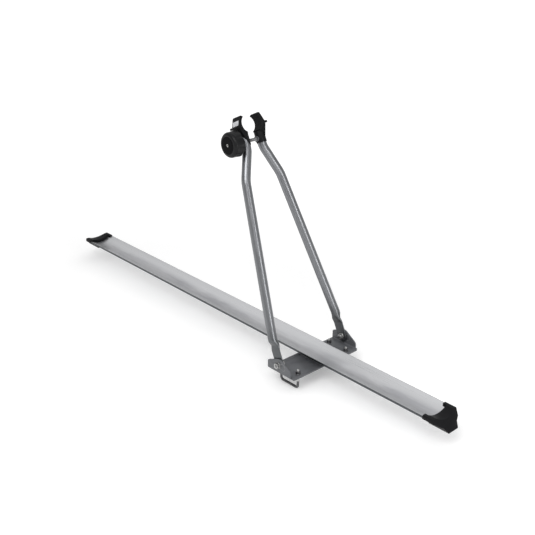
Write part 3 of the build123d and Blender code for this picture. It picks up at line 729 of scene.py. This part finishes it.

# Arms: 22 mm steel tube, bent at three places, pressed flat and rounded off at the
# pivot bolt that holds it. Sprayed with silver grey lacquer that has fine metal flake
# in it, coloured darker towards the foot as painted shade.
tube_colour = (0.235, 0.24, 0.25)
tube_deeper = (0.17, 0.175, 0.185)
tube_painted_shade = (0.10, 0.105, 0.11)
tube_gloss = (0.30, 0.40)
foot_shade = (0.06, 0.11)
lean = radians(24)
bore_radius = 0.0095
arm_base = 0.10405
flat_outer = 0.10585
flat_thickness = 0.0036
flat_width = 0.0285
flat_until, flat_half = 0.0095, 0.0047
swing_from, swing_rise = 0.047, 0.0105
crimp_top = 0.0575
knee_height = 0.0633
shoulder_y, shoulder_height = 0.0536, 0.425
neck_y, neck_height = 0.0244, 0.4955
arm_top = 0.5285
tube_width = 0.022
bend_radii = (0.070, 0.070, 0.042)
bend_steps = 10
rod_height = 0.5145
rod_hole = 0.0045
bush_hole = 0.00545
slot_rise = 0.003
bolt_hole = 0.00408
foot_inner, foot_outer = 0.09, 0.12
neck_reach = 0.015
arm_sharp = 40

tube_finish, tube_shader = new_finish("silver_grey_lacquer", tube_colour, 0.95, 0.34)
flake = grain(tube_finish, 4200.0, 2.0, 0.7)
depth = grain(tube_finish, 26.0, 4.0, 0.6)
two_tone(tube_finish, tube_shader, between(tube_finish, flake, 0, 1), tube_colour, tube_deeper)
# Painted shade: the tubes are coloured darker near the bottom, below about 11 cm.
above_bar = distance_to(tube_finish, (0, 0, 0), (0, 0, 1))
foot = between(tube_finish, above_bar, 1, 0, *foot_shade)
two_tone(tube_finish, tube_shader, foot, None, tube_painted_shade)
join(tube_finish, between(tube_finish, depth, *tube_gloss), tube_shader.inputs["Roughness"])
emboss(tube_finish, tube_shader, flake, 0.08, 0.00005)
tube_shader.inputs["Coat Weight"].default_value = 0.15
tube_shader.inputs["Coat Roughness"].default_value = 0.32


def press(before, after):
    """Pull a tube's end on and press it to the next height, width, thickness and middle."""
    height, width, thickness, middle = before
    next_height, next_width, next_thickness, next_middle = after
    pull((0, next_middle - middle, next_height - height))
    grow = next_thickness / thickness
    bpy.ops.transform.resize(
        value=(grow, grow, 1), center_override=(0, next_middle, next_height)
    )
    apart = (next_width - next_thickness) / 2 - grow * (width - thickness) / 2
    tube_end = bmesh.from_edit_mesh(bpy.context.object.data)
    edge = [corner for corner in tube_end.verts if corner.select]
    for side in (-1, 1):
        bpy.ops.mesh.select_all(action="DESELECT")
        for corner in edge:
            corner.select_set(side * corner.co.x > 0)
        bpy.ops.transform.translate(value=(side * apart, 0, 0))
    for corner in edge:
        corner.select_set(True)
    tube_end.select_flush(True)


def draw_along(line, radii):
    """Draw a tube's end along a line of (y, height) corners, bent to the radii."""
    heading = 0.0
    used = 0.0
    for here, corner, beyond, radius in zip(line, line[1:], line[2:], radii):
        reach = sqrt((corner[0] - here[0]) ** 2 + (corner[1] - here[1]) ** 2)
        turn = atan2(corner[0] - beyond[0], beyond[1] - corner[1]) - heading
        trim = radius * tan(abs(turn) / 2)
        run = reach - used - trim
        way = Vector((0, -sin(heading), cos(heading)))
        pull(run * way)
        side = 1 if turn > 0 else -1
        inward = Vector((0, -cos(heading), -sin(heading)))
        end = Vector((0, corner[0], corner[1])) - trim * way
        middle = end + side * radius * inward
        bpy.ops.mesh.spin(steps=bend_steps, angle=-turn, center=middle, axis=(1, 0, 0))
        heading += turn
        used = trim
    reach = line[-1][1] - line[-2][1]
    pull((0, 0, reach - used))


def middle_at(height, thickness):
    """The pressed end's middle: its outer face lies flat, then swings out to the tube."""
    if thickness < flat_until:
        return flat_outer - thickness / 2
    swing = (height - swing_from) / swing_rise
    return flat_outer - flat_half + (arm_base - flat_outer + flat_half) * swing


line = [
    (arm_base, crimp_top), (arm_base, knee_height), (shoulder_y, shoulder_height),
    (neck_y, neck_height), (neck_y, arm_top),
]
tip = [
    (-flat_width / 2 * sin(radians(a)), flat_width * cos(radians(a)), flat_thickness)
    for a in (80, 66, 52, 38, 25, 12, 0)
]
# Height, width and thickness, from the flat foot up to the round tube
crimp = [
    (0.030, flat_width, flat_thickness), (0.034, flat_width, 0.0037), (0.0365, 0.0281, 0.0043),
    (0.040, 0.0272, 0.0058), (0.0435, 0.0261, 0.0076), (0.0465, 0.0252, 0.0094),
    (0.0485, 0.0247, 0.0116), (0.0510, 0.0240, 0.0146), (0.0535, 0.0233, 0.0177),
    (0.0555, 0.0226, 0.0200), (crimp_top, tube_width, tube_width),
]
pressings = [
    (height, width, thickness, middle_at(height, thickness))
    for height, width, thickness in tip + crimp
]
height, width, thickness, middle = pressings[0]
arm = ring("far_arm_tube_piece", thickness / 2, height)
bpy.ops.transform.translate(value=(0, middle, 0))
round_end = (height, thickness, thickness, middle)
pressings[0] = (height + 0.0001, width, thickness, middle)
for before, after in zip([round_end, *pressings], pressings):
    press(before, after)
draw_along(line, bend_radii)
close(arm, arm_sharp)
tube_bore = ring("tube_bore", bore_radius, crimp_top)
bpy.ops.transform.translate(value=(0, arm_base, 0))
draw_along([*line[:-1], (neck_y, arm_top + 0.001)], bend_radii)
close(tube_bore)
cut_out(arm, tube_bore)


def drill(piece, radius, height, low, high, rise=0.0):
    """Drill or mill a slot across an arm, between two distances from the middle."""
    cutter = ring("cutter", radius, 0)
    pull((0, 0, high - low))
    if rise:
        top = bmesh.from_edit_mesh(cutter.data)
        bpy.ops.mesh.select_all(action="DESELECT")
        for corner in top.verts:
            corner.select_set(corner.co.y > 0)
        bpy.ops.transform.translate(value=(0, rise, 0))
    close(cutter)
    set_at(cutter, (0, high, height), (radians(90), 0, 0))
    cut_out(piece, cutter)


def mirrored(piece, name, limit=sharp):
    """A piece's mirror image for the near side."""
    image = one_more(piece)
    image.name = name
    image.scale = (1, -1, 1)
    hold(image)
    bpy.ops.object.transform_apply()
    bpy.ops.object.mode_set(mode="EDIT")
    close(image, limit)
    return image


near_arm = mirrored(arm, "near_arm_tube_piece", arm_sharp)
drill(arm, bolt_hole, 0, foot_inner, foot_outer)
drill(near_arm, bolt_hole, 0, -foot_outer, -foot_inner)
drill(arm, rod_hole, rod_height, neck_y, neck_y + neck_reach)
drill(arm, bush_hole, rod_height, neck_y - neck_reach, neck_y)
drill(near_arm, rod_hole, rod_height, -neck_y - neck_reach, -neck_y + neck_reach, slot_rise)


def lean_back(piece):
    """Lean a piece made on the upright arms back about the pivot, and fix it there."""
    set_at(piece, pivot, (0, -lean, 0))


for side, piece in (("far", arm), ("near", near_arm)):
    lean_back(piece)
    smooth(piece, arm_sharp)
    stand_in(piece, f"{side}_arm_tube", tube_finish)

# Jaws: black glass-filled nylon mouldings, screwed on the tubes. Each back carries
# a light grey plate, and each seat a rubber pad with cross grooves.
jaw_colour = (0.0044, 0.0045, 0.0050)
plate_colour = (0.46, 0.465, 0.48)
pad_colour = (0.0075, 0.0075, 0.008)
jaw_edge = 0.0007
pad_edge = 0.00025
jaw_y, jaw_height = 0.0086, 0.5528
pad_radius = 0.021
pad_thickness = 0.0025
jaw_depth = 0.028
pad_from, pad_to, pad_step = -62, 54, 2
groove_depth = 0.0007
groove_every = 6

jaw_finish = moulded("jaw_nylon", jaw_colour, 0.42)
plate_finish = moulded("grey_plate", plate_colour, 0.38, 0.4)
pad_finish = moulded("pad_rubber", pad_colour, 0.78, 0.15)
for side in ("far", "near"):
    recast(f"{side}_jaw", jaw_edge, 3, jaw_finish)
    recast(f"{side}_jaw_plate", small_edge, 2, plate_finish)

bpy.ops.object.select_all(action="DESELECT")
pad_middle = pad_radius + pad_thickness / 2
first = radians(pad_from)
bpy.ops.mesh.primitive_plane_add(
    size=1,
    location=(0, jaw_y + pad_middle * cos(first), jaw_height + pad_middle * sin(first)),
    rotation=(first, 0, 0),
)
pad = bpy.context.object
pad.name = "far_jaw_pad_piece"
pad.scale = (jaw_depth, pad_thickness, 1)
bpy.ops.object.transform_apply()
bpy.ops.object.mode_set(mode="EDIT")
bpy.ops.mesh.select_all(action="SELECT")
bpy.ops.mesh.spin(
    steps=(pad_to - pad_from) // pad_step, angle=radians(pad_from - pad_to),
    center=(0, jaw_y, jaw_height), axis=(1, 0, 0),
)
bpy.ops.mesh.select_all(action="SELECT")
bpy.ops.mesh.normals_make_consistent(inside=False)
skin = bmesh.from_edit_mesh(pad.data)
bpy.ops.mesh.select_all(action="DESELECT")
for face in skin.faces:
    spot = face.calc_center_median()
    away = sqrt((spot.y - jaw_y) ** 2 + (spot.z - jaw_height) ** 2)
    angle = atan2(spot.z - jaw_height, spot.y - jaw_y)
    step = round((angle - first) / radians(pad_step) - 0.5)
    if away < pad_radius + 0.0002 and step % groove_every == groove_every // 2:
        face.select_set(True)
bpy.ops.mesh.extrude_region_shrink_fatten(TRANSFORM_OT_shrink_fatten={"value": -groove_depth})
close(pad)
soften(pad, pad_edge, 2)
near_pad = mirrored(pad, "near_jaw_pad_piece")
for side, piece in (("far", pad), ("near", near_pad)):
    lean_back(piece)
    stand_in(piece, f"{side}_jaw_pad", pad_finish)

# Jaw screws: small zinc-plated pan heads with a cross recess, one on the rear of
# each sleeve, where they hold the jaws on the tubes.
screw_seat = 0.0116
screw_radius, screw_length = 0.0019, 0.006
screw_head_radius, screw_head_height = 0.0040, 0.0024
screw_height = 0.5247
jaw_screw = turned(
    "jaw_screw",
    [
        (screw_radius, -screw_length), (screw_radius, 0.0), (screw_head_radius, 0.0),
        (screw_head_radius, 0.0010), (0.0037, 0.0017), (0.0031, 0.0021),
        (0.0020, screw_head_height), (0.0008, screw_head_height),
    ],
)
cross_slot(jaw_screw, across=0.0042, wide=0.0008, height=screw_head_height, depth=0.0013)
smooth(jaw_screw)
near_screw = one_more(jaw_screw)
for side, piece, y in (("far", jaw_screw, neck_y), ("near", near_screw, -neck_y)):
    piece.name = f"{side}_jaw_screw_piece"
    set_at(piece, (-screw_seat, y, screw_height), (0, radians(-90), 0))
    lean_back(piece)
    stand_in(piece, f"{side}_jaw_screw", zinc_finish)

# Clamp rod: M8 studding that screws into a barrel nut in the far tube, passes a grey
# bush in the far jaw and a black saddle on the near tube, and ends in the knob.
rod_end = 0.0626
rod_far_end = 0.036
rod_colour = (0.36, 0.36, 0.365)
rod_dull = (0.26, 0.26, 0.265)
rod_washer = 0.03965
thrust_bore, thrust_radius = 0.0042, 0.0110
bush_edge = 0.0004
saddle_edge = 0.0006

rod_finish, _ = plated("dull_zinc_studding", rod_colour, rod_dull, 240.0, 0.34, 0.5)
rod_core = turned(
    "rod_core",
    [
        (m8_root - m8_lead, -rod_far_end), (m8_root, m8_lead - rod_far_end),
        (m8_root, rod_end - m8_lead), (m8_root - m8_lead, rod_end),
    ],
)
rod_thread = thread(
    m8_crest, m8_root, m8_pitch, m8_thread_gap - rod_far_end, rod_end - m8_thread_gap
)
rod = gather("clamp_rod_piece", [rod_core, rod_thread])
thrust = turned(
    "thrust_washer_piece",
    [
        (thrust_bore, 0.0002), (thrust_bore + 0.0002, 0), (thrust_radius - 0.0003, 0),
        (thrust_radius, 0.0003), (thrust_radius, 0.0013),
        (thrust_radius - 0.0003, washer_thickness), (thrust_bore + 0.0002, washer_thickness),
        (thrust_bore, 0.0014),
    ],
    bored=True,
)


def on_rod(piece, distance=0.0):
    """Set a piece made along Z on the rod's axis, towards the near side."""
    set_at(piece, (0, -distance, rod_height), (radians(90), 0, 0))
    lean_back(piece)


on_rod(rod)
on_rod(thrust, rod_washer)
stand_in(rod, "clamp_rod", rod_finish)
stand_in(thrust, "thrust_washer", rod_finish)
recast("far_barrel_nut", bush_edge, 2, zinc_finish)
recast("far_rod_bush", bush_edge, 2, bush_finish)
recast("near_saddle", saddle_edge, 2, jaw_finish)

# Knob: a black nylon moulding with eight finger hollows in its rim, moulded round a
# brass insert that fixes it on the rod, with a push-in cover in its face.
knob_colour = (0.0042, 0.0043, 0.0048)
cover_colour = (0.0026, 0.0026, 0.0029)
brass_colour = (0.62, 0.45, 0.19)
knob_edge = 0.0008
cover_edge = 0.0004

knob_finish = moulded("knob_nylon", knob_colour, 0.38, 0.2)
cover_finish = moulded("cover_nylon", cover_colour, 0.5, 0.05)
brass_finish, brass_shader = new_finish("turned_brass", brass_colour, 1.0, 0.28)
tool_marks = grain(brass_finish, 1800.0, 2.0, 0.5)
two_tone(
    brass_finish, brass_shader, between(brass_finish, tool_marks, 0, 1),
    brass_colour, tuple(0.8 * c for c in brass_colour),
)
emboss(brass_finish, brass_shader, tool_marks, 0.15, 0.00005)
recast("clamp_knob", knob_edge, 3, knob_finish)
recast("knob_cover", cover_edge, 3, cover_finish)
recast("knob_insert", small_edge, 3, brass_finish)

# Lock: a nickel-plated barrel turned with a fine ring round its key slot, coloured
# near-black outside a small middle spot, and a pressed cam on its inner end. It sits
# in the knob's cover.
lock_colour = (0.50, 0.495, 0.47)
lock_rim_colour = (0.03, 0.03, 0.03)
lock_gloss = (0.2, 0.32)
lock_length = 0.0088
lock_front = 0.0767
lock_radius = 0.0050
lock_bright = (0.0029, 0.0032)
key_slot = (0.006, 0.0016, 0.010)

nickel_finish, nickel_shader = new_finish("nickel_plate", lock_colour, 1.0, 0.24)
haze = grain(nickel_finish, 500.0, 3.0, 0.6)
two_tone(
    nickel_finish, nickel_shader, between(nickel_finish, haze, 0, 1),
    lock_colour, tuple(0.85 * c for c in lock_colour),
)
join(nickel_finish, between(nickel_finish, haze, *lock_gloss), nickel_shader.inputs["Roughness"])
rod_spot = (sin(lean) * rod_height - pivot.x, 0, pivot.z + cos(lean) * rod_height)
from_rod = distance_to(nickel_finish, rod_spot, (1, 0, 1))
dark_outside_middle = between(nickel_finish, from_rod, 0, 1, *lock_bright)
two_tone(nickel_finish, nickel_shader, dark_outside_middle, None, lock_rim_colour)
barrel = turned(
    "lock_barrel_piece",
    [
        (lock_radius, 0), (lock_radius, lock_length - 0.0003),
        (lock_radius - 0.0003, lock_length), (0.0041, lock_length),
        (0.0040, lock_length - 0.0003), (0.0038, lock_length - 0.0003),
        (0.0037, lock_length), (0.0020, lock_length),
    ],
)
cut_out(barrel, block(key_slot, lock_length))
smooth(barrel)
on_rod(barrel, lock_front - lock_length)
stand_in(barrel, "lock_barrel", nickel_finish)
recast("lock_cam", small_edge, 2, nickel_finish)

# Floor: a white sweep under the U-bolts. For the camera and in reflections it carries
# a painted glow, weaker near the carrier so that the soft shadows there stay, and
# strong enough further out to run to pure white.
floor_size = 30.0
floor_white = (0.80, 0.80, 0.80)
length_share = 0.45
shadow_from, shadow_to = 0.26, 0.5
glow_near, glow_far = 0.45, 1.1

bpy.ops.object.select_all(action="DESELECT")
bpy.ops.mesh.primitive_plane_add(size=floor_size, location=(0, 0, cad_box[0].z))
floor = bpy.context.object
floor.name = "floor"
floor_finish, floor_shader = new_finish("white_sweep", floor_white, 0.0, 0.9)
path = add_node(floor_finish, "ShaderNodeLightPath")
seen = combine(
    floor_finish, "MAXIMUM", path.outputs["Is Camera Ray"], path.outputs["Is Glossy Ray"]
)
from_carrier = distance_to(floor_finish, (0, 0, 0), (length_share, 1, 0))
glow_by_distance = between(floor_finish, from_carrier, shadow_from, shadow_to, glow_near, glow_far)
painted_glow = combine(floor_finish, "MULTIPLY", seen, glow_by_distance)
floor_shader.inputs["Emission Color"].default_value = (1, 1, 1, 1)
join(floor_finish, painted_glow, floor_shader.inputs["Emission Strength"])
floor.data.materials.append(floor_finish)

# Light: a room of soft light in bands from floor to ceiling, white to the camera,
# a large soft key high on the near side, and a tall softbox off the short end that
# draws the bright line down each tube.
room_bands = [
    (0.0, 0.8), (0.52, 0.8), (0.64, 0.48), (0.75, 0.44), (0.81, 0.88), (0.93, 0.88), (1.0, 0.55)
]

world = bpy.data.worlds.new("studio")
bpy.context.scene.world = world
world.use_nodes = True
world.node_tree.nodes.clear()
direction = add_node(world, "ShaderNodeTexCoord")
apart = add_node(world, "ShaderNodeSeparateXYZ")
join(world, direction.outputs["Generated"], apart.inputs[0])
bands = add_node(world, "ShaderNodeValToRGB")
join(world, between(world, apart.outputs["Z"], 0, 1, -1, 1), bands.inputs["Fac"])
for position, _ in room_bands[1:-1]:
    bands.color_ramp.elements.new(position)
for band, (position, level) in zip(bands.color_ramp.elements, room_bands):
    band.position = position
    band.color = (level, level, level, 1)
soft = add_node(world, "ShaderNodeBackground", Strength=1.0)
join(world, bands.outputs["Color"], soft.inputs["Color"])
white = add_node(world, "ShaderNodeBackground", Strength=1.0, Color=(1, 1, 1, 1))
ray = add_node(world, "ShaderNodeLightPath")
blend = add_node(world, "ShaderNodeMixShader")
join(world, ray.outputs["Is Camera Ray"], blend.inputs["Fac"])
join(world, soft.outputs[0], blend.inputs[1])
join(world, white.outputs[0], blend.inputs[2])
out = add_node(world, "ShaderNodeOutputWorld")
join(world, blend.outputs[0], out.inputs["Surface"])


def softbox(name, place, target, width, height, watts):
    """An area lamp at a place, turned towards a target."""
    lamp = bpy.data.lights.new(name, "AREA")
    lamp.shape = "RECTANGLE"
    lamp.size, lamp.size_y = width, height
    lamp.energy = watts
    holder = bpy.data.objects.new(name, lamp)
    bpy.context.scene.collection.objects.link(holder)
    holder.location = place
    aim = Vector(target) - Vector(place)
    holder.rotation_euler = aim.to_track_quat("-Z", "Y").to_euler()


softbox("key", (0.75, -1.6, 2.2), (-0.1, 0, 0), width=1.6, height=1.2, watts=30)
softbox("side", (2.4, -0.1, 1.0), (-0.1, 0, 0.45), width=0.7, height=1.5, watts=18)

# Camera: at the photograph's place, to the knob's side and towards the short end,
# looking a little down.
camera_place = (1.2323, -1.2597, 1.0091)
camera_turn = radians(42.02)
camera_fall = radians(23.69)
lens = 56.86
level_reach = cos(camera_fall)
sight = Vector(
    (-cos(camera_turn) * level_reach, sin(camera_turn) * level_reach, -sin(camera_fall))
)
view_camera = bpy.data.cameras.new("camera")
view_camera.lens = lens
view_camera.clip_end = 100
tripod = bpy.data.objects.new("camera", view_camera)
bpy.context.scene.collection.objects.link(tripod)
tripod.location = camera_place
tripod.rotation_mode = "QUATERNION"
tripod.rotation_quaternion = sight.to_track_quat("-Z", "Y")
bpy.context.scene.camera = tripod
bpy.context.scene.view_settings.view_transform = "Standard"
